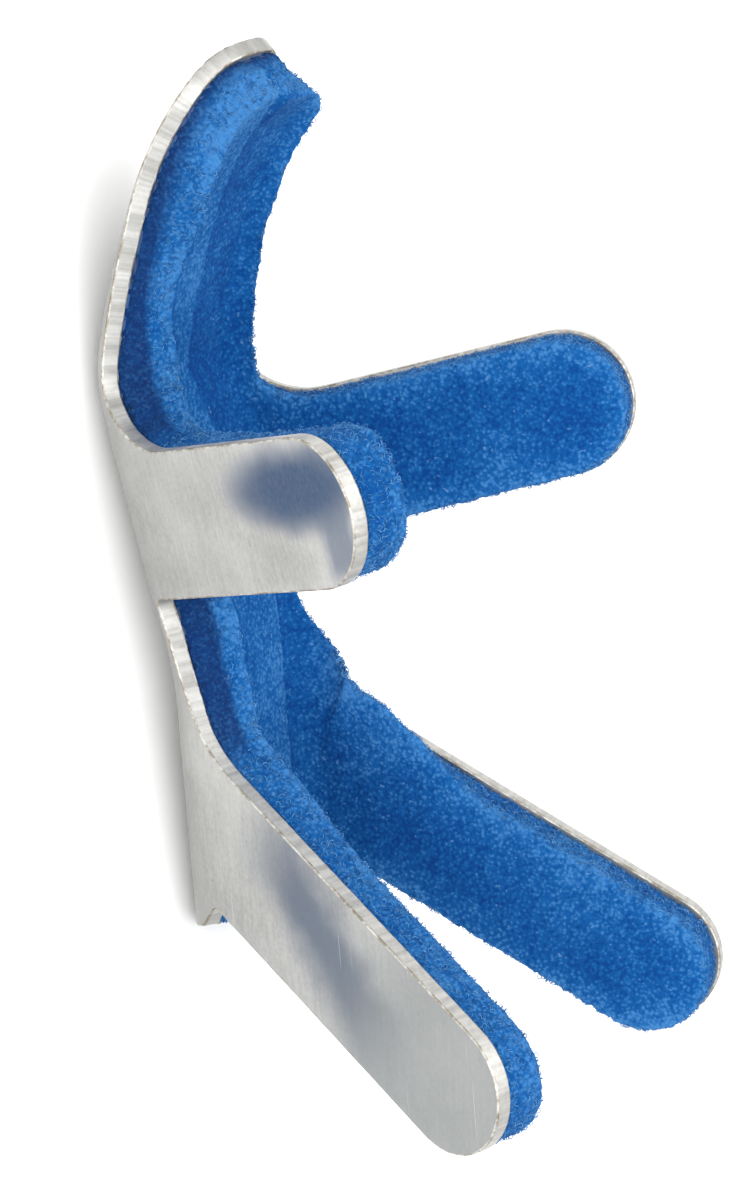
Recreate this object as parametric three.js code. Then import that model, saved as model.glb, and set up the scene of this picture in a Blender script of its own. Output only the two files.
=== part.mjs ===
// Four-prong finger splint: a soft aluminium blank lined with a sheet of blue foam, folded into a trough.
// Both layers are drawn once as a flat blank, then bent by the same map, as the press bends the real one.
// Millimetres, +Z up. The splint lies on its back: +Y runs to the fingertip, +Z is the open side.
import * as THREE from 'three';

// Layers, counted from the outer face of the metal inwards
const SHEET = 1.4; // aluminium sheet
const GLUE_LINE = 0.2; // adhesive between the metal and the foam
const FOAM = 3.7; // foam sheet

// Flat blank, measured along the spine from its wrist end
const LEG_ROOT = 20.8; // length of the straight wrist end of the spine
const NECK_LENGTH = 7.7; // bend between the wrist end and the finger prongs
const PRONG_WIDTH = 12.0; // width of a finger prong, also its length of spine
const KNUCKLE_GAP = 3.8; // straight spine from the finger prongs to the fingertip curl
const PRONG_REACH = 42.2; // centre line of the blank to the apex of a finger prong
const LEG_WIDTH = 11.3; // width of a hand leg
const LEG_REACH = 41.4; // root of a hand leg to its apex, along the leg
const LEG_SWEEP = 32.7; // degrees that the hand legs sweep down from square
const LEG_HEIGHT = 13.1; // wrist end of the spine to the leg's centre line, at the leg's root
const LEG_START = 8.5; // centre line of the blank to the leg's root
const NECK_HALF = 10.3; // half width at the neck
const KNUCKLE_HALF = 11.2; // half width just above the finger prongs
const TIP_HALF = 6.4; // half width at the fingertip, also the radius of its round end
const TAB_FLAT = 4.0; // half width of the straight edge at the wrist end
const TAB_HALF = 10.6; // half width at the wrist end's corners
const NOTCH_HALF = 12.6; // half width at the notches under the legs
const NOTCH_DEPTH = 2.0; // corner of the wrist end to the notch above it

// Fillets and rounded corners of the blank
const PRONG_TOP_FILLET = 7.0;
const PRONG_UNDER_FILLET = 1.0;
const LEG_TOP_FILLET = 12.0;
const NOTCH_FILLET = 0.5;
const TAB_CORNER = 2.0;

// Lengthways bends of the spine, in degrees, and the lengths that they take
const NECK_LEAN = 11.8; // the finger end leans back at the neck
const KNUCKLE_BEND = 25.8;
const KNUCKLE_BEND_LENGTH = 5.4;
const PAD_BEND = 10.2;
const PAD_LENGTH = 12.8;
const TIP_BEND = 25.0;
const TIP_LENGTH = 14.2;

// Crossways fold: a flat strip down the middle, then a rolled bend up to the fold angle
const FOLD_RADIUS = 8.0; // radius of the outer face at the prongs and legs
const PAD_FOLD_RADIUS = 6.6; // the same halfway up the fingertip
const TIP_FOLD_RADIUS = 10.6; // the same at the fingertip's end
const WRIST_FLAT = 2.7; // half width of the flat strip along the wrist end
const PRONG_FLAT = 3.6; // the same along the finger prongs and the pad
const TIP_FLAT = 2.8; // the same at the fingertip's end
const PRONG_FOLD = 66.5; // degrees that the finger prongs stand up from flat
const LEG_FOLD = 74.0; // degrees that the hand legs stand up from flat

// The fold squeezes the foam's free face, so along the spine it stands out past the metal's edge
const NECK_BULGE = 1.3;
const WEB_BULGE = 2.6; // the same at the fillet between the neck and a hand leg
const PAD_BULGE = 1.6;
const TIP_BULGE = 0.5;
const BULGE_REACH = 6.0; // width of the squeezed strip along the edge
const BULGE_FADE = 11.0; // length over which it fades into a prong or a leg
const SWELL = 0.45; // extra thickness of the squeezed foam, as a share of its bulge

// Fineness of the facets
const ARC_STEP = 11; // degrees per chord on a rounded corner
const FOLD_STEPS = 8; // facets across one rolled fold
const NECK_STEPS = 3;
const KNUCKLE_STEPS = 3;
const PAD_STEPS = 4;
const TIP_STEPS = 5;
const SAME_POINT = 0.03; // points closer than this are one point

const rad = THREE.MathUtils.degToRad;

// Places along the spine that follow from the sizes above
const prongBottom = LEG_ROOT + NECK_LENGTH;
const prongTop = prongBottom + PRONG_WIDTH;
const knuckle = prongTop + KNUCKLE_GAP;
const padStart = knuckle + KNUCKLE_BEND_LENGTH;
const tipStart = padStart + PAD_LENGTH;
const tipEnd = tipStart + TIP_LENGTH;
const padMiddle = (knuckle + tipEnd) / 2;

// Linear table lookup: the value at x on the line through the points (xs, ys)
function lookup(x, xs, ys) {
  if (x <= xs[0]) return ys[0];
  for (let i = 1; i < xs.length; i += 1) {
    if (x <= xs[i]) {
      const share = (x - xs[i - 1]) / (xs[i] - xs[i - 1]);
      return ys[i - 1] + share * (ys[i] - ys[i - 1]);
    }
  }
  return ys[ys.length - 1];
}

// The right half of the blank as corners with a radius each, from the fingertip down to the wrist end
function blankCorners() {
  const sweep = rad(LEG_SWEEP);
  const along = new THREE.Vector2(Math.cos(sweep), -Math.sin(sweep));
  const across = new THREE.Vector2(Math.sin(sweep), Math.cos(sweep));
  const root = new THREE.Vector2(LEG_START, LEG_HEIGHT);
  const apex = root.clone().addScaledVector(along, LEG_REACH);
  const halfLeg = LEG_WIDTH / 2;
  const edgeAt = (u, side) => {
    const start = root.clone().addScaledVector(across, side * halfLeg);
    return start.addScaledVector(along, (u - start.x) / along.x);
  };
  const legTop = edgeAt(NECK_HALF, 1);
  const legUnder = edgeAt(NOTCH_HALF, -1);
  const legTopEnd = apex.clone().addScaledVector(across, halfLeg);
  const legUnderEnd = apex.clone().addScaledVector(across, -halfLeg);
  return [
    [TIP_HALF, tipEnd, TIP_HALF],
    [KNUCKLE_HALF, prongTop, PRONG_TOP_FILLET],
    [PRONG_REACH, prongTop, PRONG_WIDTH / 2],
    [PRONG_REACH, prongBottom, PRONG_WIDTH / 2],
    [NECK_HALF, prongBottom, PRONG_UNDER_FILLET],
    [legTop.x, legTop.y, LEG_TOP_FILLET],
    [legTopEnd.x, legTopEnd.y, halfLeg],
    [legUnderEnd.x, legUnderEnd.y, halfLeg],
    [legUnder.x, legUnder.y, NOTCH_FILLET],
    [TAB_HALF, Math.max(0, legUnder.y - NOTCH_DEPTH), TAB_CORNER],
    [TAB_FLAT, 0, TAB_CORNER],
  ];
}

// Whole outline, clockwise from the fingertip, with each corner replaced by a tangent arc
function blankOutline() {
  const right = blankCorners();
  const left = right.map(([u, v, r]) => [-u, v, r]).reverse();
  const corners = [...right, ...left];
  const count = corners.length;
  const at = (i) => new THREE.Vector2(...corners[(i + count) % count].slice(0, 2));
  // tangent length that each corner's arc would take, shared out where an edge is too short for both
  const halfAngle = corners.map((_, i) => {
    const before = at(i - 1).sub(at(i)).normalize();
    const after = at(i + 1).sub(at(i)).normalize();
    return Math.acos(THREE.MathUtils.clamp(before.dot(after), -1, 1)) / 2;
  });
  const wanted = corners.map(([, , r], i) => r / Math.tan(halfAngle[i]));
  const tangent = wanted.map((length, i) => {
    const edgeBefore = at(i - 1).distanceTo(at(i));
    const edgeAfter = at(i + 1).distanceTo(at(i));
    const sumBefore = length + wanted[(i - 1 + count) % count];
    const sumAfter = length + wanted[(i + 1) % count];
    return length * Math.min(1, edgeBefore / sumBefore, edgeAfter / sumAfter);
  });
  const points = [];
  const add = (point) => {
    const last = points[points.length - 1];
    if (!last || last.distanceTo(point) > SAME_POINT) points.push(point);
  };
  corners.forEach((_, i) => {
    const corner = at(i);
    const before = at(i - 1).sub(corner).normalize();
    const after = at(i + 1).sub(corner).normalize();
    const radius = tangent[i] * Math.tan(halfAngle[i]);
    const toCentre = before.clone().add(after).normalize();
    const centre = corner.clone().addScaledVector(toCentre, radius / Math.sin(halfAngle[i]));
    const start = corner.clone().addScaledVector(before, tangent[i]).sub(centre);
    const end = corner.clone().addScaledVector(after, tangent[i]).sub(centre);
    const turn = Math.atan2(start.cross(end), start.dot(end));
    const steps = Math.max(1, Math.round(Math.abs(turn) / rad(ARC_STEP)));
    for (let k = 0; k <= steps; k += 1) {
      add(start.clone().rotateAround(new THREE.Vector2(), (turn * k) / steps).add(centre));
    }
  });
  if (points[0].distanceTo(points[points.length - 1]) < SAME_POINT) points.pop();
  return points;
}

// Spread n equal steps between two places
const spread = (from, to, n) => Array.from({ length: n + 1 }, (_, i) => from + ((to - from) * i) / n);

// Lines across and along the blank where it may bend, so that every facet edge lies on a bend line
function bendLines() {
  const foldEnd = Math.max(PRONG_FLAT + FOLD_RADIUS * rad(PRONG_FOLD), WRIST_FLAT + FOLD_RADIUS * rad(LEG_FOLD));
  const us = spread(Math.min(WRIST_FLAT, TIP_FLAT, PRONG_FLAT), foldEnd, FOLD_STEPS);
  const vs = new Set([
    ...spread(LEG_ROOT, prongBottom, NECK_STEPS),
    prongBottom - PRONG_UNDER_FILLET,
    prongTop,
    ...spread(knuckle, padStart, KNUCKLE_STEPS),
    ...spread(padStart, tipStart, PAD_STEPS),
    ...spread(tipStart, tipEnd, TIP_STEPS).slice(0, -1),
  ]);
  return { us: [...us, ...us.map((u) => -u)], vs: [...vs] };
}

// Cut triangles along one line of the blank; neighbours share the points of each cut
function cutAlong(points, triangles, axis, place) {
  const shared = new Map();
  const side = points.map((p) => (Math.abs(p[axis] - place) < SAME_POINT ? 0 : Math.sign(p[axis] - place)));
  const crossing = (a, b) => {
    const key = a < b ? `${a},${b}` : `${b},${a}`;
    if (!shared.has(key)) {
      const [p, q] = a < b ? [points[a], points[b]] : [points[b], points[a]];
      points.push(p.clone().lerp(q, (place - p[axis]) / (q[axis] - p[axis])));
      shared.set(key, points.length - 1);
    }
    return shared.get(key);
  };
  const fan = (ring) => ring.slice(2).map((c, k) => [ring[0], ring[k + 1], c]);
  return triangles.flatMap((triangle) => {
    const signs = triangle.map((i) => side[i]);
    if (!(signs.includes(1) && signs.includes(-1))) return [triangle];
    const over = [];
    const under = [];
    triangle.forEach((a, k) => {
      const b = triangle[(k + 1) % 3];
      if (side[a] >= 0) over.push(a);
      if (side[a] <= 0) under.push(a);
      if (side[a] * side[b] < 0) {
        const middle = crossing(a, b);
        over.push(middle);
        under.push(middle);
      }
    });
    return [...fan(over), ...fan(under)];
  });
}

// Edges that only one of the triangles uses, each from its first point to its second
function rimOf(triangles) {
  const rim = new Map();
  triangles.forEach(([a, b, c]) => {
    [[a, b], [b, c], [c, a]].forEach(([p, q]) => {
      if (!rim.delete(`${q},${p}`)) rim.set(`${p},${q}`, [p, q]);
    });
  });
  return [...rim.values()];
}

// Closed rings of points along a rim
function ringsOf(rim) {
  const next = new Map(rim);
  const rings = [];
  while (next.size > 0) {
    const ring = [next.keys().next().value];
    for (let at = next.get(ring[0]); at !== ring[0]; at = next.get(at)) ring.push(at);
    ring.forEach((i) => next.delete(i));
    rings.push(ring);
  }
  return rings;
}

// The flat blank as triangles that no bend line crosses: it is cut along the lines, then each cell
// between them is triangulated again from its rim, the line crossings and the corners of the cells
function flatBlank() {
  const points = blankOutline();
  const area = ([a, b, c]) => points[b].clone().sub(points[a]).cross(points[c].clone().sub(points[a]));
  const { us, vs } = bendLines();
  let cuts = THREE.ShapeUtils.triangulateShape(points, []);
  us.forEach((u) => { cuts = cutAlong(points, cuts, 'x', u); });
  vs.forEach((v) => { cuts = cutAlong(points, cuts, 'y', v); });
  cuts = cuts.map((triangle) => (area(triangle) > 0 ? triangle : [...triangle].reverse()));
  const near = (place, lines) => lines.some((line) => Math.abs(line - place) < SAME_POINT);
  const onRim = new Set(rimOf(cuts).flat());
  const kept = (i) => onRim.has(i) || (near(points[i].x, us) && near(points[i].y, vs));
  const cells = new Map();
  cuts.forEach((triangle) => {
    const centre = triangle.reduce((sum, i) => sum.add(points[i]), new THREE.Vector2()).divideScalar(3);
    const key = `${us.filter((u) => u < centre.x).length},${vs.filter((v) => v < centre.y).length}`;
    cells.set(key, [...(cells.get(key) ?? []), triangle]);
  });
  const triangles = [...cells.values()].flatMap((cell) => ringsOf(rimOf(cell)).flatMap((whole) => {
    const ring = whole.filter(kept);
    return THREE.ShapeUtils.triangulateShape(ring.map((i) => points[i]), []).map((t) => t.map((k) => ring[k]));
  }));
  const used = [...new Set(triangles.flat())];
  const place = new Map(used.map((i, k) => [i, k]));
  return { points: used.map((i) => points[i]), triangles: triangles.map((t) => t.map((i) => place.get(i))) };
}

// Crossways fold at a place on the spine: sideways place, height over the outer face and angle
function fold(u, v, height) {
  const places = [LEG_ROOT, prongBottom, prongTop, padMiddle, tipEnd];
  const flat = lookup(v, places, [WRIST_FLAT, PRONG_FLAT, PRONG_FLAT, PRONG_FLAT, TIP_FLAT]);
  const radius = lookup(v, places, [FOLD_RADIUS, FOLD_RADIUS, FOLD_RADIUS, PAD_FOLD_RADIUS, TIP_FOLD_RADIUS]);
  const full = rad(lookup(v, [LEG_ROOT, prongBottom], [LEG_FOLD, PRONG_FOLD]));
  const past = Math.max(0, Math.abs(u) - flat);
  const angle = Math.min(past / radius, full);
  const straight = past - radius * angle;
  const rise = radius - (radius - height) * Math.cos(angle) + straight * Math.sin(angle);
  const reach = Math.min(Math.abs(u), flat) + (radius - height) * Math.sin(angle) + straight * Math.cos(angle);
  return { sideways: Math.sign(u) * reach, rise, angle };
}

// Lengthways bends: place and lean of the outer face at a length v along the spine
function spine(v) {
  const bends = [
    [NECK_LENGTH, -NECK_LEAN],
    [PRONG_WIDTH + KNUCKLE_GAP, 0],
    [KNUCKLE_BEND_LENGTH, KNUCKLE_BEND],
    [PAD_LENGTH, PAD_BEND],
    [TIP_LENGTH, TIP_BEND],
  ];
  let lean = 0;
  let left = Math.max(0, v - LEG_ROOT);
  const place = new THREE.Vector2(0, Math.min(v, LEG_ROOT));
  bends.forEach(([length, degrees]) => {
    const run = Math.min(left, length);
    const turn = (rad(degrees) * run) / length;
    // chord of the arc: its length and its middle direction
    const chord = Math.abs(turn) < 1e-9 ? run : (2 * run * Math.sin(turn / 2)) / turn;
    place.x += chord * Math.sin(lean + turn / 2);
    place.y += chord * Math.cos(lean + turn / 2);
    lean += turn;
    left -= run;
  });
  return { forward: place.x, up: place.y, lean };
}

// Distance from a point of the blank to its outline
function rimDistance(point, outline) {
  const spans = outline.map((start, i) => [start, outline[(i + 1) % outline.length]]);
  return Math.min(...spans.map(([start, end]) => {
    const along = end.clone().sub(start);
    const share = THREE.MathUtils.clamp(point.clone().sub(start).dot(along) / along.lengthSq(), 0, 1);
    return start.clone().addScaledVector(along, share).distanceTo(point);
  }));
}

// How far the foam's free face stands out past its bonded face, sideways and along the spine: square
// to the edge on the spine, round the fillet's centre at a leg's root and square to the leg beyond it
function bulge(u, v, outline) {
  const sweep = rad(LEG_SWEEP);
  const side = Math.abs(u);
  const legTop = blankCorners()[5];
  const filletStart = legTop[1] + LEG_TOP_FILLET / Math.tan((Math.PI / 2 + sweep) / 2);
  const centre = new THREE.Vector2(NECK_HALF + LEG_TOP_FILLET, filletStart);
  const square = Math.PI / 2 - sweep;
  const direction = THREE.MathUtils.clamp(Math.atan2(centre.y - v, centre.x - side), 0, square);
  const filletEnd = centre.x - LEG_TOP_FILLET * Math.cos(square);
  const legSide = (side - LEG_START) * Math.sin(sweep) + (v - LEG_HEIGHT) * Math.cos(sweep);
  const onTop = THREE.MathUtils.clamp(legSide / (LEG_WIDTH / 2), 0, 1);
  const underProng = prongBottom - PRONG_UNDER_FILLET;
  const filletMiddle = (LEG_HEIGHT + LEG_ROOT) / 2;
  const places = [filletMiddle, filletStart, underProng, prongBottom, prongTop, knuckle, tipStart, tipEnd];
  const sizes = [WEB_BULGE, NECK_BULGE, NECK_BULGE, 0, 0, PAD_BULGE, PAD_BULGE, TIP_BULGE];
  const nearRim = THREE.MathUtils.clamp(1 - rimDistance(new THREE.Vector2(u, v), outline) / BULGE_REACH, 0, 1);
  const fade = THREE.MathUtils.clamp(1 - (side - filletEnd) / BULGE_FADE, 0, 1);
  const size = lookup(v, places, sizes) * onTop * nearRim * fade;
  return { size, sideways: size * Math.cos(direction), along: size * Math.sin(direction) };
}

// A point of the blank in the folded splint, standing upright: +Z to the fingertip, -Y the open side.
// The point may stand out sideways along the direction of the fold.
function folded(u, v, height, out = 0) {
  const { sideways, rise, angle } = fold(u, v, height);
  const { forward, up, lean } = spine(v);
  const side = sideways + Math.sign(u) * out * Math.cos(angle);
  const lift = rise + out * Math.sin(angle);
  return new THREE.Vector3(side, -forward - lift * Math.cos(lean), up - lift * Math.sin(lean));
}

// One layer of the blank as a closed solid between two heights over the outer face; its upper face may
// stand out past the lower one by a rule of its own
function layer(blank, from, to, name, material, standOut = () => ({ size: 0, sideways: 0, along: 0 })) {
  const { points, triangles } = blank;
  const outline = blankOutline();
  const count = points.length;
  const positions = [
    ...points.flatMap((p) => folded(p.x, p.y, from).toArray()),
    ...points.flatMap((p) => {
      const { size, sideways, along } = standOut(p.x, p.y, outline);
      return folded(p.x, p.y + along, to + SWELL * size, sideways).toArray();
    }),
  ];
  const index = triangles.flatMap(([a, b, c]) => [a, c, b, count + a, count + b, count + c]);
  rimOf(triangles).forEach(([p, q]) => index.push(p, q, count + q, p, count + q, count + p));
  const geometry = new THREE.BufferGeometry();
  geometry.setAttribute('position', new THREE.Float32BufferAttribute(positions, 3));
  geometry.setIndex(index);
  geometry.computeVertexNormals();
  const mesh = new THREE.Mesh(geometry, material);
  mesh.name = name;
  return mesh;
}

// Slope of the lowest line under the back, from the wrist end to the knuckle that it rests on
function restSlope() {
  const { vs } = bendLines();
  const slopes = vs.filter((v) => v > LEG_ROOT).map((v) => {
    const { forward, up } = spine(v);
    return Math.atan2(forward, up);
  });
  return Math.min(...slopes);
}

const aluminium = new THREE.MeshStandardMaterial({
  color: 0xc9c9c3,
  metalness: 1.0,
  roughness: 0.42,
  flatShading: true,
});
const foam = new THREE.MeshStandardMaterial({
  color: 0x1f66b8,
  metalness: 0.0,
  roughness: 0.95,
  flatShading: true,
});

const blank = flatBlank();
const foamBottom = SHEET + GLUE_LINE;
const splint = new THREE.Group();
splint.add(layer(blank, 0, SHEET, 'aluminium_plate', aluminium));
splint.add(layer(blank, foamBottom, foamBottom + FOAM, 'foam_lining', foam, bulge));

// Turn it onto its back, rock it onto its two resting lines and set it over the origin
splint.rotation.x = -Math.PI / 2 - restSlope();
splint.updateMatrixWorld(true);
const bounds = new THREE.Box3().setFromObject(splint, true);
const middle = bounds.getCenter(new THREE.Vector3());
splint.position.set(-middle.x, -middle.y, -bounds.min.z);
splint.updateMatrixWorld(true);

export default splint;
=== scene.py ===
import math

import bmesh
import bpy
import numpy as np
from mathutils import Euler, Matrix, Vector, noise
from mathutils.kdtree import KDTree


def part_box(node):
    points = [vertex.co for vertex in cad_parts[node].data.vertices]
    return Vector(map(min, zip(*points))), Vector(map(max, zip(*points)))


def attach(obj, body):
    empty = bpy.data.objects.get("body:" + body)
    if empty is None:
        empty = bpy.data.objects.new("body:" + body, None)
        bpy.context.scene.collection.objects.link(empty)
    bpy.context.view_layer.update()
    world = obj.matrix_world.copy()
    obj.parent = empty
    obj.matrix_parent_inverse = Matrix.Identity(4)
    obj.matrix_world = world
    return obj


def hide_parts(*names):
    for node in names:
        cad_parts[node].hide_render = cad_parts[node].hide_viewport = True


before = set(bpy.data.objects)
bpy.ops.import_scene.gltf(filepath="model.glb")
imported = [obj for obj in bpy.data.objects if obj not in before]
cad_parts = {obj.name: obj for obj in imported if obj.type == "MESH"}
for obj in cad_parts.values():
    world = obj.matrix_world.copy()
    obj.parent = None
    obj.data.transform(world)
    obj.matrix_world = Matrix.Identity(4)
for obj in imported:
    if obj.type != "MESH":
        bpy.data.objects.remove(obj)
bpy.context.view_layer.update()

MM = 0.001

# Layers of the splint in mm, counted from the outer face of the metal inwards
SHEET = 1.4
GLUE_LINE = 0.2
FOAM = 3.7
FOAM_BOTTOM = SHEET + GLUE_LINE

# Flat blank in mm, measured along the spine from its wrist end
LEG_ROOT = 20.8
NECK_LENGTH = 7.7
PRONG_WIDTH = 12.0
KNUCKLE_GAP = 3.8
PRONG_REACH = 42.2
LEG_WIDTH = 11.3
LEG_REACH = 41.4
LEG_SWEEP = 32.7
LEG_HEIGHT = 13.1
LEG_START = 8.5
NECK_HALF = 10.3
KNUCKLE_HALF = 11.2
TIP_HALF = 6.4
TAB_FLAT = 4.0
TAB_HALF = 10.6
NOTCH_HALF = 12.6
NOTCH_DEPTH = 2.0
PRONG_TOP_FILLET = 7.0
PRONG_UNDER_FILLET = 1.0
LEG_TOP_FILLET = 12.0
NOTCH_FILLET = 0.5
TAB_CORNER = 2.0

# Lengthways bends of the spine in degrees, with the lengths they take
NECK_LEAN = 11.8
KNUCKLE_BEND = 25.8
KNUCKLE_BEND_LENGTH = 5.4
PAD_BEND = 10.2
PAD_LENGTH = 12.8
TIP_BEND = 25.0
TIP_LENGTH = 14.2

# Crossways fold: half widths of the flat strip, radii of the outer face and full angles
WRIST_FLAT = 2.7
PRONG_FLAT = 3.6
TIP_FLAT = 2.8
FOLD_RADIUS = 8.0
PAD_FOLD_RADIUS = 6.6
TIP_FOLD_RADIUS = 10.6
PRONG_FOLD = 66.5
LEG_FOLD = 74.0

# Swellings where the fold squeezes the foam out past the metal's edge, judged from the photograph: the side,
# the lengths v of the spine where one starts, is full, begins to fall and ends, and how far it stands out.
# The modelled solid has the mean of both sides.
SWELLINGS = (
    (-1, -10.0, 14.0, 24.0, 29.0, 1.0),  # near leg's fillet and root
    (-1, 23.0, 27.0, 27.5, 29.5, 1.2),  # near neck, under the prong
    (-1, 38.0, 44.5, 48.5, 54.5, 2.2),  # near side of the pad
    (-1, 56.0, 65.0, 67.0, 75.0, 1.5),  # near side of the fingertip
    (1, -10.0, 15.0, 17.0, 26.5, 4.0),  # far leg's fillet and root
    (1, 39.0, 46.0, 74.0, 77.0, 1.8),  # far side of the pad and the fingertip
    (1, 70.0, 73.5, 74.0, 76.0, 0.3),  # far corner of the fingertip
)
BULGE_REACH = 6.0
BULGE_FADE = 11.0
SWELL = 0.45

# Tips where the foam's cut stands out a little further: side, sideways, along, reach, size
PROUD_TIPS = ((-1, 40.5, 39.0, 5.0, 0.8), (-1, 42.2, 33.0, 4.0, 0.35), (-1, 45.0, -8.0, 5.0, 0.3))

PRONG_BOTTOM = LEG_ROOT + NECK_LENGTH
PRONG_TOP = PRONG_BOTTOM + PRONG_WIDTH
KNUCKLE = PRONG_TOP + KNUCKLE_GAP
PAD_START = KNUCKLE + KNUCKLE_BEND_LENGTH
TIP_START = PAD_START + PAD_LENGTH
TIP_END = TIP_START + TIP_LENGTH
PAD_MIDDLE = (KNUCKLE + TIP_END) / 2
SPINE_BENDS = (
    (NECK_LENGTH, -NECK_LEAN),
    (PRONG_WIDTH + KNUCKLE_GAP, 0.0),
    (KNUCKLE_BEND_LENGTH, KNUCKLE_BEND),
    (PAD_LENGTH, PAD_BEND),
    (TIP_LENGTH, TIP_BEND),
)


# The fold: from the flat blank to the splint on its back

def crossways_fold(u, v, height):
    """Sideways place, rise and angle of points of the blank, a height over the metal's outer face."""
    places = (LEG_ROOT, PRONG_BOTTOM, PRONG_TOP, PAD_MIDDLE, TIP_END)
    flat = np.interp(v, places, (WRIST_FLAT, PRONG_FLAT, PRONG_FLAT, PRONG_FLAT, TIP_FLAT))
    radius = np.interp(v, places, (FOLD_RADIUS, FOLD_RADIUS, FOLD_RADIUS, PAD_FOLD_RADIUS, TIP_FOLD_RADIUS))
    full = np.radians(np.interp(v, (LEG_ROOT, PRONG_BOTTOM), (LEG_FOLD, PRONG_FOLD)))
    past = np.maximum(0.0, np.abs(u) - flat)
    angle = np.minimum(past / radius, full)
    straight = past - radius * angle
    rise = radius - (radius - height) * np.cos(angle) + straight * np.sin(angle)
    reach = np.minimum(np.abs(u), flat) + (radius - height) * np.sin(angle) + straight * np.cos(angle)
    return np.sign(u) * reach, rise, angle


def spine_line(v):
    """Forward place, height and lean of the spine at a length v from its wrist end."""
    left = np.maximum(0.0, v - LEG_ROOT)
    forward = np.zeros_like(left)
    up = np.minimum(v, LEG_ROOT)
    lean = np.zeros_like(left)
    for length, degrees in SPINE_BENDS:
        run = np.minimum(left, length)
        turn = math.radians(degrees) * run / length
        chord = run * np.sinc(turn / (2 * math.pi))
        forward = forward + chord * np.sin(lean + turn / 2)
        up = up + chord * np.cos(lean + turn / 2)
        lean = lean + turn
        left = left - run
    return forward + left * np.sin(lean), up + left * np.cos(lean), lean


def eased(share):
    """A share from 0 to 1 that starts and ends smoothly."""
    share = np.clip(share, 0, 1)
    return share * share * (3 - 2 * share)


def swelling(v, start, full, falling, end, most):
    """A smooth swelling along the spine."""
    return most * eased(np.interp(v, (start, full, falling, end), (0, 1, 1, 0)))


def foam_bulge(u, v, inset):
    """How far the foam's free face is squeezed out past the metal's edge; inset is the way to the outline."""
    side = np.abs(u)
    squeezed = sum(np.where(u * end > 0, swelling(v, *form), 0.0) for end, *form in SWELLINGS)
    sweep = math.radians(LEG_SWEEP)
    leg_side = (side - LEG_START) * math.sin(sweep) + (v - LEG_HEIGHT) * math.cos(sweep)
    on_top = np.clip(leg_side / (LEG_WIDTH / 2), 0, 1)
    fillet_end = NECK_HALF + LEG_TOP_FILLET * (1 - math.sin(sweep))
    fade = eased(1 - (side - fillet_end) / BULGE_FADE)
    size = squeezed * on_top * fade
    for tip_side, tip_u, tip_v, reach, most in PROUD_TIPS:
        away = np.hypot(u - tip_side * tip_u, v - tip_v)
        size = size + most * np.clip(1 - away / reach, 0, 1)
    return size * np.clip(1 - inset / BULGE_REACH, 0, 1)


def lying_turn():
    """Turn that lays the splint on its wrist end and on the point of the knuckle that is furthest out."""
    forward, up, _ = spine_line(np.linspace(LEG_ROOT, TIP_END, 4001))
    lowest = np.argmin(forward / up)
    return math.atan(up[lowest] / forward[lowest])


def fold_up(flat_points, stand_out=0.0):
    """Points (u, v, height) of the blank in the splint as it lies on its back, in mm."""
    u, v, height = flat_points.T
    sideways, rise, angle = crossways_fold(u, v, height)
    forward, up, lean = spine_line(v)
    sideways = sideways + np.sign(u) * stand_out * np.cos(angle)
    lift = rise + stand_out * np.sin(angle)
    back = -forward - lift * np.cos(lean)
    top = up - lift * np.sin(lean)
    turned_y = back * math.cos(REST_TURN) - top * math.sin(REST_TURN)
    turned_z = back * math.sin(REST_TURN) + top * math.cos(REST_TURN)
    return np.stack((sideways, turned_y + REST_SHIFT, turned_z), axis=1)


REST_TURN = lying_turn()
REST_SHIFT = 0.0
FINGERTIP = fold_up(np.array([(0.0, TIP_END, 0.0), (0.0, TIP_END, SHEET)]))
REST_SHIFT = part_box("aluminium_plate")[1][1] / MM - FINGERTIP[:, 1].max()


# The flat blank

def blank_corners():
    """Corners of the blank's right half with their radii, from the fingertip down to the wrist end."""
    sweep = math.radians(LEG_SWEEP)
    along = Vector((math.cos(sweep), -math.sin(sweep)))
    across = Vector((math.sin(sweep), math.cos(sweep)))
    root = Vector((LEG_START, LEG_HEIGHT))
    apex = root + along * LEG_REACH
    half_leg = LEG_WIDTH / 2

    def leg_edge(u, side):
        start = root + across * half_leg * side
        return start + along * ((u - start.x) / along.x)

    leg_top = leg_edge(NECK_HALF, 1)
    leg_under = leg_edge(NOTCH_HALF, -1)
    top_end = apex + across * half_leg
    under_end = apex - across * half_leg
    return [
        (0.0, TIP_END, 0.0),
        (TIP_HALF, TIP_END, TIP_HALF),
        (KNUCKLE_HALF, PRONG_TOP, PRONG_TOP_FILLET),
        (PRONG_REACH, PRONG_TOP, PRONG_WIDTH / 2),
        (PRONG_REACH, PRONG_BOTTOM, PRONG_WIDTH / 2),
        (NECK_HALF, PRONG_BOTTOM, PRONG_UNDER_FILLET),
        (leg_top.x, leg_top.y, LEG_TOP_FILLET),
        (top_end.x, top_end.y, half_leg),
        (under_end.x, under_end.y, half_leg),
        (leg_under.x, leg_under.y, NOTCH_FILLET),
        (TAB_HALF, max(0.0, leg_under.y - NOTCH_DEPTH), TAB_CORNER),
        (TAB_FLAT, 0.0, TAB_CORNER),
        (0.0, 0.0, 0.0),
    ]


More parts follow.
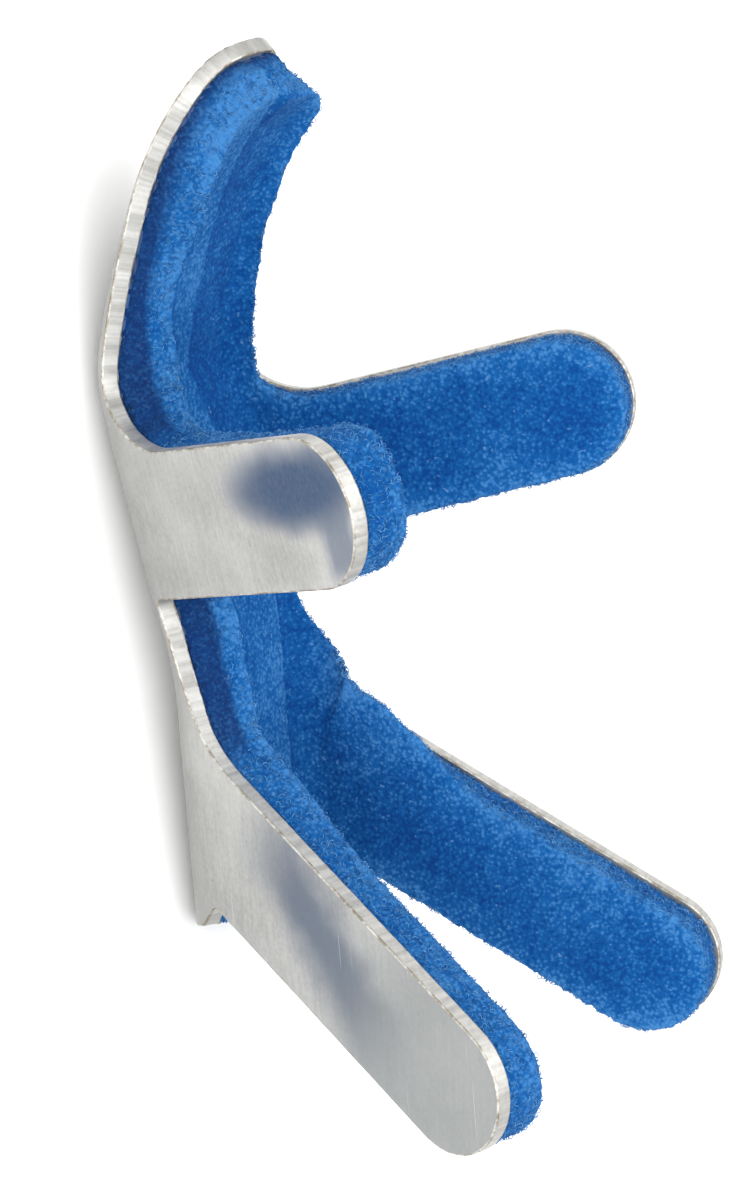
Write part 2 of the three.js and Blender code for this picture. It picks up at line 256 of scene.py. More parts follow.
def flat_blank(cross_lines, length_lines, corner_steps):
    """The blank as a flat sheet, cut along lines across and along it where it will bend."""
    corners = blank_corners()
    bm = bmesh.new()
    verts = [bm.verts.new((u, v, 0.0)) for u, v, _ in corners]
    bm.faces.new(verts)
    for i, (u, v, radius) in enumerate(corners):
        if radius == 0.0:
            continue
        here = Vector((u, v))
        before = (Vector(corners[i - 1][:2]) - here).normalized()
        after = (Vector(corners[(i + 1) % len(corners)][:2]) - here).normalized()
        tangent = radius / math.tan(before.angle(after) / 2)
        bmesh.ops.bevel(bm, geom=[verts[i]], offset=tangent * 0.998, offset_type="OFFSET", affect="VERTICES",
                        segments=corner_steps, profile=0.5, material=-1)
    bmesh.ops.remove_doubles(bm, verts=bm.verts, dist=0.03)
    for u in cross_lines:
        bmesh.ops.bisect_plane(bm, geom=bm.verts[:] + bm.edges[:] + bm.faces[:], dist=1e-3,
                               plane_co=(u, 0, 0), plane_no=(1, 0, 0))
    for v in length_lines:
        bmesh.ops.bisect_plane(bm, geom=bm.verts[:] + bm.edges[:] + bm.faces[:], dist=1e-3,
                               plane_co=(0, v, 0), plane_no=(0, 1, 0))
    bmesh.ops.mirror(bm, geom=bm.verts[:] + bm.edges[:] + bm.faces[:], axis="X", merge_dist=1e-3)
    return bm


def slab(bm, bottom, top):
    """Give the flat sheet its thickness."""
    made = bmesh.ops.extrude_face_region(bm, geom=bm.faces[:])["geom"]
    lifted = [item for item in made if isinstance(item, bmesh.types.BMVert)]
    bmesh.ops.translate(bm, verts=lifted, vec=(0, 0, top - bottom))
    bmesh.ops.translate(bm, verts=bm.verts, vec=(0, 0, bottom))
    bmesh.ops.recalc_face_normals(bm, faces=bm.faces)


def steps(start, end, count):
    """Places of cuts from start to end."""
    return [start + (end - start) * i / count for i in range(count + 1)]


def add_object(name, bm):
    mesh = bpy.data.meshes.new(name)
    bm.to_mesh(mesh)
    bm.free()
    piece = bpy.data.objects.new(name, mesh)
    bpy.context.collection.objects.link(piece)
    return piece


def vectors_of(mesh, name):
    """A vector of each vertex, such as its place or its normal."""
    values = np.empty(len(mesh.vertices) * 3)
    mesh.vertices.foreach_get(name, values)
    return values.reshape(-1, 3)


def points_of(mesh):
    return vectors_of(mesh, "co")


def set_points(mesh, points_mm):
    mesh.vertices.foreach_set("co", (points_mm * MM).ravel())
    mesh.update()


def smooth_shade(mesh):
    mesh.polygons.foreach_set("use_smooth", [True] * len(mesh.polygons))


# Metal plate

PRONG_FOLD_END = PRONG_FLAT + FOLD_RADIUS * math.radians(PRONG_FOLD)
LEG_FOLD_END = WRIST_FLAT + FOLD_RADIUS * math.radians(LEG_FOLD)
FOLD_END = max(PRONG_FOLD_END, LEG_FOLD_END)
LAST_CUT = TIP_END - 0.4  # the last cut across the blank stays clear of its end
BURR_ROUND = 0.16  # rounding of the plate's sheared edges
CAP_FACING = 0.5  # a face of the blank is a cap when its normal's height is above this, else a wall
BRUSHED_FACING = 0.95
SHEARED_FACING = 0.1


def make_plate():
    cross = steps(TIP_FLAT - 0.1, FOLD_END, 22)
    length = steps(LEG_ROOT, LAST_CUT, 60)
    bm = flat_blank(cross, length, 14)
    slab(bm, 0.0, SHEET)
    rim = []
    for edge in bm.edges:
        heights = [face.normal.z for face in edge.link_faces]
        if len(heights) == 2 and abs(heights[0] - heights[1]) > CAP_FACING:
            rim.append(edge)
    bmesh.ops.bevel(bm, geom=rim, offset=BURR_ROUND, offset_type="OFFSET", affect="EDGES",
                    segments=2, profile=0.5, material=-1)
    bm.normal_update()
    uv = bm.loops.layers.uv.new("blank")
    for face in bm.faces:
        steep = abs(face.normal.z)
        face.material_index = 0 if steep > BRUSHED_FACING else 1 if steep < SHEARED_FACING else 2
        for loop in face.loops:
            loop[uv].uv = (loop.vert.co.x / UV_SPAN + 0.5, loop.vert.co.y / UV_SPAN)
    plate = add_object("plate", bm)
    set_points(plate.data, fold_up(points_of(plate.data)))
    smooth_shade(plate.data)
    weighted = plate.modifiers.new("even_shading", "WEIGHTED_NORMAL")
    weighted.keep_sharp = True
    return plate


# Foam lining

CELL = 0.28  # size of the mesh's squares on the foam
FOAM_SEAT = SHEET + 0.04
FOAM_TRIM = 0.35  # how far the foam's cut stays inside the metal's edge where nothing squeezes it out
TRIM_REACH = 1.5  # width of the strip along the edge that the trim moves
SOFTENING_ROUNDS = 5
SQUEEZE_POWER = 1.15  # how the bulge grows from the bonded face to the free one
CUT_REACH = 0.7  # width of the torn strip along the edge
OUTLINE_STEP = 0.1
WAVE_SIZE = 4.0
LUMP_SIZE = 1.2
GRIT_SIZE = 0.45
SPINE_END = 20.0  # sideways place past which the foam is torn less
SPINE_FADE = 6.0

# Painted shade in the recess below the foam's cut face, as a share of the foam's thickness, falls to the
# fingertip
UNDERCUT_START = (13.0, 17.0)  # lengths v of the spine where it sets in
UNDERCUT_PLACES = (44.0, 76.0)
UNDERCUT_SHARES = (0.62, 0.28)

# The crease where the far wall starts moves over to the middle past the prongs; the channel floor before it
# gets a painted highlight, which narrows, and the wall past it painted shade
CREASE_PLACES = (28.0, 46.0)
CREASE_SIDEWAYS = (3.3, -0.5)
STRIPE_WIDTHS = (8.5, 5.0)
CREASE_SHADE = 2.6  # width over which the painted shade on the wall fades past the crease


def make_foam():
    cross = steps(PRONG_FLAT, FOLD_END, 4)
    length = steps(LEG_ROOT, LAST_CUT, 6)
    bm = flat_blank(cross, length, 12)
    slab(bm, FOAM_SEAT, FOAM_BOTTOM + FOAM)
    block = add_object("foam_block", bm)
    rim_points, rim_normals = outline_points(block.data)
    grid = block.modifiers.new("cells", "REMESH")
    grid.mode = "VOXEL"
    grid.voxel_size = CELL
    seen = block.evaluated_get(bpy.context.evaluated_depsgraph_get())
    mesh = bpy.data.meshes.new_from_object(seen)
    mesh.name = "foam"
    bpy.data.objects.remove(block)

    soft = bmesh.new()
    soft.from_mesh(mesh)
    for _ in range(SOFTENING_ROUNDS):
        bmesh.ops.smooth_vert(soft, verts=soft.verts, factor=0.5,
                              use_axis_x=True, use_axis_y=True, use_axis_z=True)
    soft.to_mesh(mesh)
    soft.free()

    flat = points_of(mesh)
    level = np.clip((flat[:, 2] - FOAM_SEAT) / (FOAM_BOTTOM + FOAM - FOAM_SEAT), 0, 1)
    inset, outward = rim_distance(flat, rim_points, rim_normals)
    trim = FOAM_TRIM * np.clip(1 - inset / TRIM_REACH, 0, 1)
    size = foam_bulge(flat[:, 0], flat[:, 1], inset) * level ** SQUEEZE_POWER - trim
    raised = flat.copy()
    raised[:, 1] += size * outward[:, 1]
    raised[:, 2] += SWELL * size
    folded = fold_up(raised, size * outward[:, 0] * np.sign(flat[:, 0]))
    mesh.vertices.foreach_set("co", folded.ravel())
    mesh.update()
    normals = vectors_of(mesh, "normal")

    cut = np.clip(1 - inset / CUT_REACH, 0, 1)
    spine_share = np.clip((SPINE_END - np.abs(flat[:, 0])) / SPINE_FADE, 0, 1)
    rough = np.empty(len(folded))
    for i, (x, y, z) in enumerate(folded):
        place = Vector((x, y, z))
        wave = noise.noise(place / WAVE_SIZE)
        lumps = noise.noise(place / LUMP_SIZE)
        grit = noise.noise(place / GRIT_SIZE)
        torn = cut[i] * (0.45 + 0.55 * spine_share[i])
        rough[i] = 0.04 * lumps + 0.06 * grit + torn * (0.16 * wave + 0.12 * lumps + 0.22 * grit)
    glued = np.clip(1 - level / 0.08, 0, 1) * np.clip(inset / 0.5, 0, 1)
    folded = folded + normals * (rough * (1 - glued))[:, None]
    set_points(mesh, folded)
    smooth_shade(mesh)

    foam = bpy.data.objects.new("foam", mesh)
    bpy.context.collection.objects.link(foam)
    under = np.interp(flat[:, 1], UNDERCUT_PLACES, UNDERCUT_SHARES)
    under = under * np.interp(flat[:, 1], UNDERCUT_START, (0, 1))
    on_spine = np.clip((16.0 - np.abs(flat[:, 0])) / 3.0, 0, 1)
    blur = np.interp(flat[:, 1], (50.0, 64.0), (0.10, 0.35))
    # painted shade on the lower part of the cut face along the spine
    dark = np.clip((under - level) / blur + 0.5, 0, 1) * np.clip(1.6 - inset / CUT_REACH, 0, 1) * on_spine
    # painted highlight on the channel floor up to the crease, painted shade on the far wall past it
    beyond = flat[:, 0] - np.interp(flat[:, 1], CREASE_PLACES, CREASE_SIDEWAYS)
    width = np.interp(flat[:, 1], CREASE_PLACES, STRIPE_WIDTHS)
    light = np.clip((beyond + width) / 1.5, 0, 1)
    stripe = np.where(beyond < 0, light, -np.exp(-np.maximum(beyond, 0) / CREASE_SHADE))
    add_attribute(mesh, "cut", cut)
    add_attribute(mesh, "undercut_shade", dark)
    # Painted highlight along the foam's top edges, stronger at the far leg's root and at the fingertip; its
    # values over 1 also place the lace of open cells
    web = np.clip(1 - np.abs(flat[:, 1] - 18.5) / 5.0, 0, 1) * (flat[:, 0] > 0)
    crest = np.clip((level - 0.55) / 0.45, 0, 1)
    tip = np.clip((flat[:, 1] - 66.0) / 6.0, 0, 1)
    band = np.clip(1 - inset / (3.0 + 2.0 * web), 0, 1) * crest
    add_attribute(mesh, "rim", band * (0.8 + 1.3 * web) + 0.35 * tip)
    add_attribute(mesh, "stripe", stripe * np.clip((11.0 - np.abs(flat[:, 0])) / 3.0, 0, 1))
    return foam


def outline_points(mesh):
    """Points along the outline of a flat block, a short step apart, with the directions out of it."""
    bm = bmesh.new()
    bm.from_mesh(mesh)
    bm.normal_update()
    spots = []
    outward = []
    for edge in bm.edges:
        walls = [face.normal for face in edge.link_faces if abs(face.normal.z) < CAP_FACING]
        caps = [face.normal for face in edge.link_faces if abs(face.normal.z) > CAP_FACING]
        if walls and caps:
            a, b = (v.co for v in edge.verts)
            count = max(1, round((b - a).length / OUTLINE_STEP))
            spots += [a.lerp(b, i / count).to_2d() for i in range(count)]
            outward += [walls[0].to_2d()] * count
    bm.free()
    return spots, outward


def rim_distance(flat, spots, outward):
    """Distance of each point of the blank to its outline, and the direction out of it there."""
    tree = KDTree(len(spots))
    for i, spot in enumerate(spots):
        tree.insert(spot.to_3d(), i)
    tree.balance()
    found = [tree.find((u, v, 0.0)) for u, v, _ in flat]
    distance = np.array([item[2] for item in found])
    directions = np.array([outward[item[1]] for item in found])
    return distance, directions


# Open cells along the foam's cut faces

LOOP_DOUBLINGS = 12  # the first cell is doubled this many times
LOOP_WIRE = 0.2  # thickness of a cell's rim, as a share of its radius
LOOP_SMALLEST = 0.10
LOOP_LARGEST = 0.22
LOOP_SIDES = 6
LOOP_DEPTH = (-0.10, 0.06)  # how far a cell's middle lies from the cut face
CUT_LEAST = 0.35
UNDERCUT_MOST = 0.3
LACE_SHARE = 5.0  # how much likelier a cell is where the foam's edge is torn to lace
LACE_GROWTH = 0.6  # how much larger the cells are there


def make_open_cells(foam, name, side, chance):
    """Thin rims of cells that stand half out of the foam's cut faces, on one side of the splint."""
    bm = bmesh.new()
    corners = [(1 + LOOP_WIRE * math.cos(a), 0, LOOP_WIRE * math.sin(a)) for a in (0.0, 2.1, 4.2)]
    verts = [bm.verts.new(corner) for corner in corners]
    edges = [bm.edges.new((verts[i], verts[(i + 1) % 3])) for i in range(3)]
    bmesh.ops.spin(bm, geom=verts + edges, cent=(0, 0, 0), axis=(0, 0, 1), angle=2 * math.pi,
                   steps=LOOP_SIDES, use_merge=True)
    bmesh.ops.recalc_face_normals(bm, faces=bm.faces)
    for _ in range(LOOP_DOUBLINGS):
        bmesh.ops.duplicate(bm, geom=bm.verts[:] + bm.edges[:] + bm.faces[:])
    piece = add_object(name, bm)
    count = 2 ** LOOP_DOUBLINGS

    places = points_of(foam.data) / MM
    normals = vectors_of(foam.data, "normal")
    cut = read_attribute(foam.data, "cut")
    undercut_shade = read_attribute(foam.data, "undercut_shade")
    lace = np.clip(read_attribute(foam.data, "rim") - 1, 0, 1)
    likely = (cut > CUT_LEAST) & (undercut_shade < UNDERCUT_MOST) & (places[:, 0] * side > 0)
    spots = np.nonzero(likely)[0]
    weights = 1 + LACE_SHARE * lace[spots]
    chosen = chance.choice(spots, count, replace=False, p=weights / weights.sum())
    outward = normals[chosen]
    sideways = np.cross(outward, chance.normal(size=outward.shape))
    sideways /= np.linalg.norm(sideways, axis=1)[:, None]
    across = np.cross(outward, sideways)
    axes = np.stack((outward, sideways, across), axis=1)
    radius = chance.uniform(LOOP_SMALLEST, LOOP_LARGEST, count) * (1 + LACE_GROWTH * lace[chosen])
    centre = places[chosen] + outward * chance.uniform(*LOOP_DEPTH, count)[:, None]
    loops = points_of(piece.data).reshape(count, -1, 3)
    placed = centre[:, None] + (loops @ axes) * radius[:, None, None]
    set_points(piece.data, placed.reshape(-1, 3))
    smooth_shade(piece.data)
    return piece


def add_attribute(mesh, name, values):
    attribute = mesh.attributes.new(name, "FLOAT", "POINT")
    attribute.data.foreach_set("value", values.astype(np.float32))


def read_attribute(mesh, name):
    values = np.empty(len(mesh.vertices), dtype=np.float32)
    mesh.attributes[name].data.foreach_get("value", values)
    return values


# Glue between the layers

GLUE_INSET = 0.5
GLUE_IN_METAL = 0.05  # the film reaches a little into both layers, so that no gap shows
GLUE_IN_FOAM = 0.1


def make_glue():
    cross = steps(TIP_FLAT, FOLD_END, 12)
    length = steps(LEG_ROOT, LAST_CUT, 24)
    bm = flat_blank(cross, length, 10)
    slab(bm, SHEET - GLUE_IN_METAL, FOAM_BOTTOM + GLUE_IN_FOAM)
    glue = add_object("glue", bm)
    pull_in(glue.data, GLUE_INSET)
    set_points(glue.data, fold_up(points_of(glue.data)))
    smooth_shade(glue.data)
    return glue


def pull_in(mesh, inset):
    """Move the side walls of a flat block inwards."""
    bm = bmesh.new()
    bm.from_mesh(mesh)
    bm.normal_update()
    moves = {}
    for vert in bm.verts:
        sides = [f.normal for f in vert.link_faces if abs(f.normal.z) < CAP_FACING]
        if sides:
            inward = -sum(sides, Vector()).normalized()
            moves[vert] = inward * inset
    for vert, move in moves.items():
        vert.co += move
    bm.to_mesh(mesh)
    bm.free()


# Finishes of the metal, the foam and the glue between them, with painted reflections, highlights and shade

METAL_DARK = (0.25, 0.25, 0.24, 1)
METAL_LIGHT = (0.50, 0.50, 0.485, 1)
PITTED = (0.16, 0.15, 0.14, 1)
SCRATCHED = (0.78, 0.78, 0.77, 1)
# Painted reflections: darker blue-grey patches on the outer faces of the prongs and legs
PRONG_REFLECTION = (0.042, 0.075, 0.140, 1)
PRONG_STRIP_REFLECTION = (0.09, 0.12, 0.18, 1)
LEG_REFLECTION = (0.085, 0.110, 0.155, 1)
LEG_END_REFLECTION = (0.19, 0.205, 0.21, 1)
EDGE_DARK = (0.36, 0.355, 0.335, 1)
EDGE_LIGHT = (0.54, 0.53, 0.505, 1)
EDGE_ON_SPINE = (0.30, 0.305, 0.30, 1)
EDGE_SHADE = (0.17, 0.17, 0.16, 1)
BURR_DARK = (0.22, 0.195, 0.15, 1)
BURR_LIGHT = (0.52, 0.51, 0.48, 1)
FOAM_DARK = (0.0012, 0.034, 0.160, 1)
FOAM_MIDDLE = (0.0032, 0.064, 0.222, 1)
FOAM_LIGHT = (0.034, 0.142, 0.345, 1)
# painted shade in the recess under the foam's cut face
FOAM_UNDERCUT_SHADE = (0.0035, 0.018, 0.080, 1)
FOAM_FLECK = (0.10, 0.22, 0.42, 1)
CELL_LIGHT = (0.075, 0.220, 0.440, 1)
SHEEN_TINT = (0.4, 0.7, 1.0, 1)
# glue line between metal and foam, darkened to stand partly for painted shade in the seam
GLUE_DARK = (0.006, 0.030, 0.100, 1)
GLUE_LIGHT = (0.010, 0.050, 0.170, 1)
FLOOR_DARK = (0.88, 0.88, 0.88, 1)
FLOOR_LIGHT = (0.90, 0.90, 0.90, 1)
UV_SPAN = 100.0  # mm of the blank that one unit of its UV map covers


class Channel:
    """One output of a shader node. Arithmetic on it adds Math nodes to the same material."""

    def __init__(self, tree, socket):
        self.tree = tree
        self.socket = socket

    @classmethod
    def node(cls, tree, kind, settings=None, inputs=None, output=0):
        made = tree.nodes.new(kind)
        for name, value in (settings or {}).items():
            setattr(made, name, value)
        for name, value in (inputs or {}).items():
            if isinstance(value, cls):
                tree.links.new(value.socket, made.inputs[name])
            else:
                made.inputs[name].default_value = value
        return cls(tree, made.outputs[output])

    def math(self, operation, *others):
        values = dict(enumerate((self, *others)))
        return Channel.node(self.tree, "ShaderNodeMath", {"operation": operation}, values)

    def swapped(self, operation, other):
        return Channel.node(self.tree, "ShaderNodeMath", {"operation": operation}, {0: other, 1: self})

    def __add__(self, other):
        return self.math("ADD", other)

    def __radd__(self, other):
        return self.swapped("ADD", other)

    def __sub__(self, other):
        return self.math("SUBTRACT", other)

    def __rsub__(self, other):
        return self.swapped("SUBTRACT", other)

    def __mul__(self, other):
        return self.math("MULTIPLY", other)

    def __rmul__(self, other):
        return self.swapped("MULTIPLY", other)

    def __truediv__(self, other):
        return self.math("DIVIDE", other)

    def ramp(self, low, high):
        """0 below low, 1 above high and smooth between them; low may be the larger one."""
        rising = low < high
        settings = {"interpolation_type": "SMOOTHSTEP"}
        inputs = {"Value": self, "From Min": min(low, high), "From Max": max(low, high),
                  "To Min": 0.0 if rising else 1.0, "To Max": 1.0 if rising else 0.0}
        return Channel.node(self.tree, "ShaderNodeMapRange", settings, inputs)


def new_material(name):
    material = bpy.data.materials.new(name)
    material.use_nodes = True
    material.node_tree.nodes.clear()
    return material, material.node_tree


def finish_material(tree, fixed, varying, bump):
    """Principled shader with set values, varying values and a bump."""
    normal = Channel.node(tree, "ShaderNodeBump", None, bump)
    shader = Channel.node(tree, "ShaderNodeBsdfPrincipled", None, dict(fixed, **varying, Normal=normal))
    out = tree.nodes.new("ShaderNodeOutputMaterial")
    tree.links.new(shader.socket, out.inputs["Surface"])


def mix_colour(tree, factor, first, second):
    """Mix two colours; a colour is a Channel or four numbers."""
    node = tree.nodes.new("ShaderNodeMix")
    node.data_type = "RGBA"
    for key, value in ((0, factor), (6, first), (7, second)):
        if isinstance(value, Channel):
            tree.links.new(value.socket, node.inputs[key])
        else:
            node.inputs[key].default_value = value
    return Channel(tree, node.outputs[2])


def scaled(tree, vector, scale):
    return Channel.node(tree, "ShaderNodeMapping", None, {"Vector": vector, "Scale": scale})


def noise_at(tree, vector, scale, detail=2.0, roughness=0.5):
    return Channel.node(tree, "ShaderNodeTexNoise", None,
                        {"Vector": vector, "Scale": scale, "Detail": detail, "Roughness": roughness})


def object_space(tree):
    return Channel.node(tree, "ShaderNodeTexCoord", None, None, 3)


def painted(tree, name):
    """A value that the mesh holds at each vertex."""
    return Channel.node(tree, "ShaderNodeAttribute", {"attribute_name": name}, None, 2)


def blank_places(tree):
    """The blank's UV map, with the distance to either side and along the spine in mm."""
    blank = Channel.node(tree, "ShaderNodeUVMap", {"uv_map": "blank"})
    across = Channel.node(tree, "ShaderNodeSeparateXYZ", None, {"Vector": blank}, 0)
    along = Channel.node(tree, "ShaderNodeSeparateXYZ", None, {"Vector": blank}, 1)
    return blank, ((across - 0.5) * UV_SPAN).math("ABSOLUTE"), along * UV_SPAN


PRONG_PATCH_AT = (35.5, 36.6)  # middle of the painted reflection patch, to the side and along the spine
PRONG_PATCH_HALF = (9.5, 3.5)
LEG_PATCH_START = 8.0
LEG_PATCH_OFFSET = 5.0
LEG_PATCH_SLOPE = 0.35


def painted_reflections(tree, space, side, v):
    """Painted reflections: darker blue-grey patches on the outer faces of the prongs and legs."""
    stray = noise_at(tree, space, 260.0, 2.0) - 0.5
    side = side + 2.4 * stray
    v = v + 1.6 * stray
    centre_side = (side - PRONG_PATCH_AT[0]) / PRONG_PATCH_HALF[0]
    centre_v = (v - PRONG_PATCH_AT[1]) / PRONG_PATCH_HALF[1]
    prong = (centre_side * centre_side + centre_v * centre_v).ramp(1.55, 0.10)
    strip = side.ramp(36.6, 39.0) * side.ramp(42.6, 41.2) * v.ramp(28.4, 30.6) * v.ramp(36.0, 33.0)
    sweep = math.radians(LEG_SWEEP)
    reach = (side - LEG_START) * math.cos(sweep) - (v - LEG_HEIGHT) * math.sin(sweep)
    off = (side - LEG_START) * math.sin(sweep) + (v - LEG_HEIGHT) * math.cos(sweep)
    middle = LEG_PATCH_OFFSET - (reach - LEG_PATCH_START) * LEG_PATCH_SLOPE
    leg = (off - middle).math("ABSOLUTE").ramp(5.6, 0.8) * reach.ramp(6.0, 16.0) * reach.ramp(33.0, 23.0)
    leg_end = reach.ramp(18.0, 30.0) * v.ramp(20.0, 16.0)
    return prong, strip, leg, leg_end


def brushed_metal():
    material, tree = new_material("brushed_aluminium")
    blank, side, v = blank_places(tree)
    space = object_space(tree)
    grain = noise_at(tree, scaled(tree, blank, (1100, 130, 1)), 1.0, 3.0, 0.65)
    long_grain = noise_at(tree, scaled(tree, blank, (260, 22, 1)), 1.0, 3.0, 0.6)
    cloud = noise_at(tree, space, 130.0, 3.0, 0.55)
    dust = noise_at(tree, space, 2600.0, 2.0, 0.6)
    mark = Channel.node(tree, "ShaderNodeTexVoronoi", {"feature": "F1"},
                        {"Vector": scaled(tree, blank, (90, 70, 1)), "Scale": 1.0})
    rare = noise_at(tree, space, 420.0, 1.0).ramp(0.60, 0.66)
    pits = mark.ramp(0.10, 0.04) * rare
    scratch = noise_at(tree, scaled(tree, blank, (620, 8, 1)), 1.0, 1.0).ramp(0.72, 0.78)
    tone = 0.40 * grain + 0.26 * long_grain + 0.50 * cloud + 0.22 * dust - 0.14
    metal = mix_colour(tree, tone.ramp(0.15, 0.9), METAL_DARK, METAL_LIGHT)
    prong, strip, leg, leg_end = painted_reflections(tree, space, side, v)
    streaks = (0.7 * grain + 0.3 * dust).ramp(0.30, 0.62)
    # painted reflections on the prong and leg faces
    metal = mix_colour(tree, prong * (0.88 + 0.12 * streaks), metal, PRONG_REFLECTION)
    metal = mix_colour(tree, strip * 0.7, metal, PRONG_STRIP_REFLECTION)
    metal = mix_colour(tree, leg * 0.85, metal, LEG_REFLECTION)
    metal = mix_colour(tree, leg_end * 0.6, metal, LEG_END_REFLECTION)
    metal = mix_colour(tree, pits * 0.6, metal, PITTED)
    metal = mix_colour(tree, scratch * 0.3, metal, SCRATCHED)
    roughness = 0.42 + 0.14 * grain + 0.12 * cloud
    finish_material(tree, {"Metallic": 1.0}, {"Base Color": metal, "Roughness": roughness},
                    {"Strength": 0.3, "Distance": 0.00003, "Height": grain * 0.7 + long_grain * 0.5 - pits})
    return material


def sheared_metal():
    material, tree = new_material("sheared_edge")
    blank, side, _ = blank_places(tree)
    space = object_space(tree)
    nicks = noise_at(tree, scaled(tree, blank, (60, 260, 1)), 1.0, 3.0, 0.65)
    bands = noise_at(tree, scaled(tree, blank, (5, 42, 1)), 1.0, 2.0, 0.5)
    pits = noise_at(tree, space, 2600.0, 2.0, 0.5)
    spine = side.ramp(14.0, 11.0)
    shade = (bands * 0.8 + nicks * 0.3).ramp(0.66, 0.40) * (0.10 + 0.90 * spine)
    metal = mix_colour(tree, (0.8 * nicks + 0.35 * pits).ramp(0.3, 0.8), EDGE_DARK, EDGE_LIGHT)
    metal = mix_colour(tree, spine * 0.35, metal, EDGE_ON_SPINE)
    metal = mix_colour(tree, shade * 0.55, metal, EDGE_SHADE)
    roughness = 0.45 + 0.2 * nicks
    finish_material(tree, {"Metallic": 1.0}, {"Base Color": metal, "Roughness": roughness},
                    {"Strength": 0.25, "Distance": 0.00004, "Height": 0.5 * nicks + 0.5 * pits})
    return material


def burr_metal():
    material, tree = new_material("burr_line")
    space = object_space(tree)
    broken = noise_at(tree, space, 700.0, 3.0, 0.6)
    fine = noise_at(tree, space, 3000.0, 2.0, 0.5)
    metal = mix_colour(tree, (0.7 * broken + 0.4 * fine).ramp(0.40, 0.72), BURR_DARK, BURR_LIGHT)
    finish_material(tree, {"Metallic": 1.0, "Roughness": 0.5}, {"Base Color": metal},
                    {"Strength": 0.3, "Distance": 0.00004, "Height": fine})
    return material


def open_foam():
    material, tree = new_material("open_cell_foam")
    space = object_space(tree)
    cut = painted(tree, "cut")
    undercut_shade = painted(tree, "undercut_shade")
    rim = painted(tree, "rim")
    stripe = painted(tree, "stripe")
    cells = Channel.node(tree, "ShaderNodeTexVoronoi", {"feature": "SMOOTH_F1"},
                         {"Vector": space, "Scale": 2900.0, "Smoothness": 0.5, "Randomness": 1.0})
    speckle = noise_at(tree, space, 3000.0, 3.0, 0.65)
    blotch = noise_at(tree, space, 1100.0, 2.0, 0.5)
    drift = noise_at(tree, space, 150.0, 2.0, 0.5)
    flecks = noise_at(tree, space, 1900.0, 1.0, 0.5).ramp(0.70, 0.78)
    pore = cells.ramp(0.10, 0.70)
    tone = 0.34 * speckle + 0.26 * blotch + 0.26 * drift + 0.14 * (1 - pore)
    # rim adds a painted highlight along the top edges; stripe adds a painted highlight on the channel floor
    # and painted shade on the wall past the crease
    tone = tone + rim * 0.14 + 0.07 * stripe + 0.055 * cut
    blue = mix_colour(tree, tone.ramp(0.34, 0.52), FOAM_DARK, FOAM_MIDDLE)
    blue = mix_colour(tree, tone.ramp(0.48, 0.70), blue, FOAM_LIGHT)
    blue = mix_colour(tree, flecks * 0.5, blue, FOAM_FLECK)
    # painted shade in the recess under the cut face
    blue = mix_colour(tree, undercut_shade * (0.72 + 0.24 * speckle.ramp(0.62, 0.40)), blue, FOAM_UNDERCUT_SHADE)
    height = 0.5 * (1 - pore) + 0.8 * speckle + 0.5 * blotch
    finish_material(tree, {"Roughness": 0.95, "Specular IOR Level": 0.06, "Sheen Weight": 0.03,
                           "Sheen Roughness": 0.6, "Sheen Tint": SHEEN_TINT},
                    {"Base Color": blue}, {"Strength": 0.7, "Distance": 0.00018, "Height": height})
    return material


def cell_rims():
    material, tree = new_material("cell_rims")
    space = object_space(tree)
    speckle = noise_at(tree, space, 1800.0, 2.0, 0.6)
    blue = mix_colour(tree, speckle.ramp(0.35, 0.65), FOAM_MIDDLE, CELL_LIGHT)
    finish_material(tree, {"Roughness": 0.9, "Specular IOR Level": 0.2, "Sheen Weight": 0.05,
                           "Sheen Tint": SHEEN_TINT},
                    {"Base Color": blue}, {"Strength": 0.2, "Distance": 0.00005, "Height": speckle})
    return material


# The real glue line between metal and foam, darkened to stand partly for painted shade in the seam between
# them
def dark_glue_and_seam_shade():
    material, tree = new_material("glue_and_seam_shade")
    space = object_space(tree)
    drift = noise_at(tree, space, 500.0, 2.0, 0.5)
    colour = mix_colour(tree, drift.ramp(0.35, 0.65), GLUE_DARK, GLUE_LIGHT)
    finish_material(tree, {"Roughness": 0.6}, {"Base Color": colour},
                    {"Strength": 0.3, "Distance": 0.0001, "Height": drift})
    return material


# The splint

plate = make_plate()
plate.data.materials.append(brushed_metal())
plate.data.materials.append(sheared_metal())
plate.data.materials.append(burr_metal())
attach(plate, "root")
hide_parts("aluminium_plate")

foam = make_foam()
foam.data.materials.append(open_foam())
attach(foam, "root")
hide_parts("foam_lining")

chance = np.random.default_rng(7)
cell_finish = cell_rims()
for name, side in (("open_cells_left", -1), ("open_cells_right", 1)):
    cells = make_open_cells(foam, name, side, chance)
    cells.data.materials.append(cell_finish)
    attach(cells, "root")

glue = make_glue()
glue.data.materials.append(dark_glue_and_seam_shade())
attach(glue, "root")

# Floor, light and camera

FLOOR_SIZE = 3.0

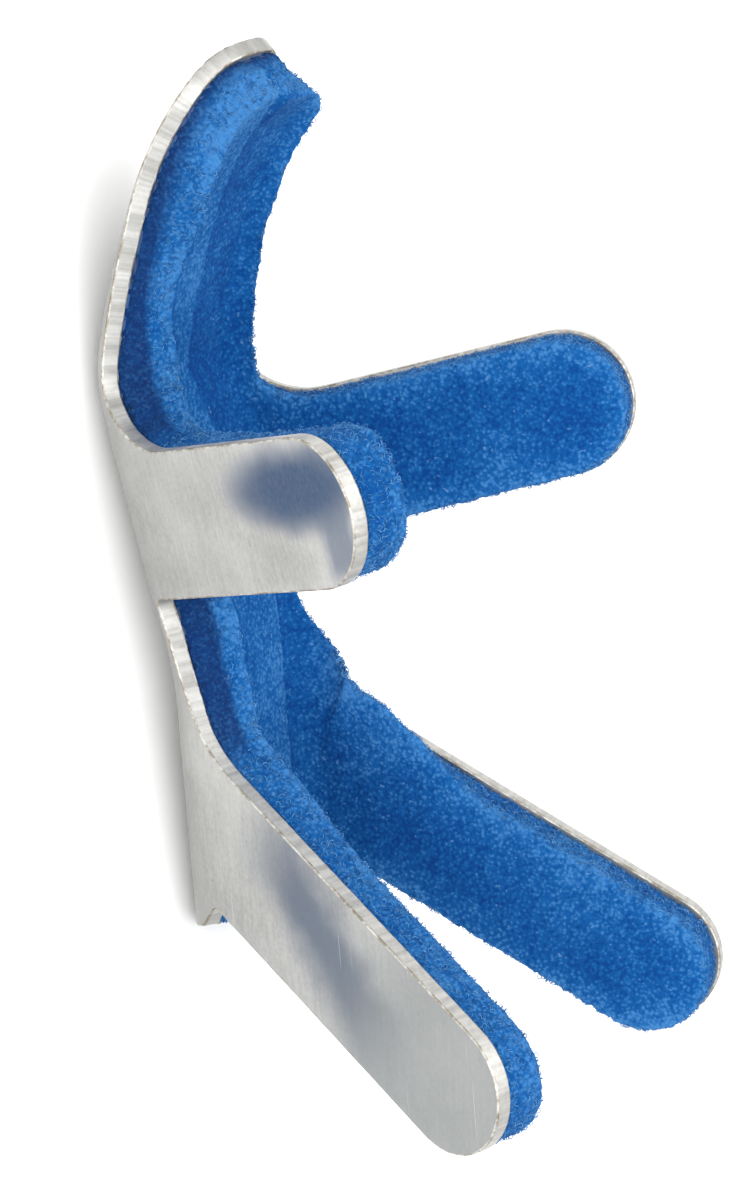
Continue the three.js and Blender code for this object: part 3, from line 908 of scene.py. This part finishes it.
floor_bm = bmesh.new()
bmesh.ops.create_grid(floor_bm, x_segments=1, y_segments=1, size=FLOOR_SIZE)
floor = add_object("floor", floor_bm)
floor_material, floor_tree = new_material("pale_floor")
floor_space = object_space(floor_tree)
floor_grain = noise_at(floor_tree, floor_space, 40.0)
floor_tone = mix_colour(floor_tree, floor_grain, FLOOR_DARK, FLOOR_LIGHT)
finish_material(floor_tree, {"Roughness": 0.9, "Specular IOR Level": 0.1}, {"Base Color": floor_tone},
                {"Strength": 0.02, "Distance": 0.0005, "Height": floor_grain})
floor.data.materials.append(floor_material)

world = bpy.data.worlds.new("pale_room")
world.use_nodes = True
world.node_tree.nodes["Background"].inputs["Color"].default_value = (1.0, 1.0, 1.0, 1)
world.node_tree.nodes["Background"].inputs["Strength"].default_value = 1.2
bpy.context.scene.world = world
bpy.context.scene.view_settings.view_transform = "Standard"

CAMERA_PLACE = Vector((-0.3378, 0.075032, 0.237465))
CAMERA_TURN = Euler((math.radians(3.4735), math.radians(-57.6104), math.radians(-17.0413)), "XYZ")
CAMERA_LENS = 153.5075

lens = bpy.data.cameras.new("camera")
lens.lens = CAMERA_LENS
lens.sensor_width = 36.0
lens.clip_start = 0.01
lens.dof.use_dof = False
camera = bpy.data.objects.new("camera", lens)
camera.matrix_world = Matrix.Translation(CAMERA_PLACE) @ CAMERA_TURN.to_matrix().to_4x4()
bpy.context.collection.objects.link(camera)
bpy.context.scene.camera = camera


def soft_light(name, place, target, size, watts):
    light = bpy.data.lights.new(name, "AREA")
    light.shape = "DISK"
    light.size = size
    light.energy = watts
    lamp = bpy.data.objects.new(name, light)
    aim = (Vector(target) - Vector(place)).to_track_quat("-Z", "Y")
    lamp.matrix_world = Matrix.Translation(place) @ aim.to_matrix().to_4x4()
    bpy.context.collection.objects.link(lamp)


soft_light("key", (0.25, 0.30, 0.75), (0, 0, 0.015), 0.9, 3.8)
soft_light("fill", (-0.45, -0.05, 0.50), (-0.03, 0, 0.0), 0.7, 3.4)
soft_light("low_fill", (-0.75, 0.02, 0.10), (-0.02, 0, 0.0), 0.5, 2.6)
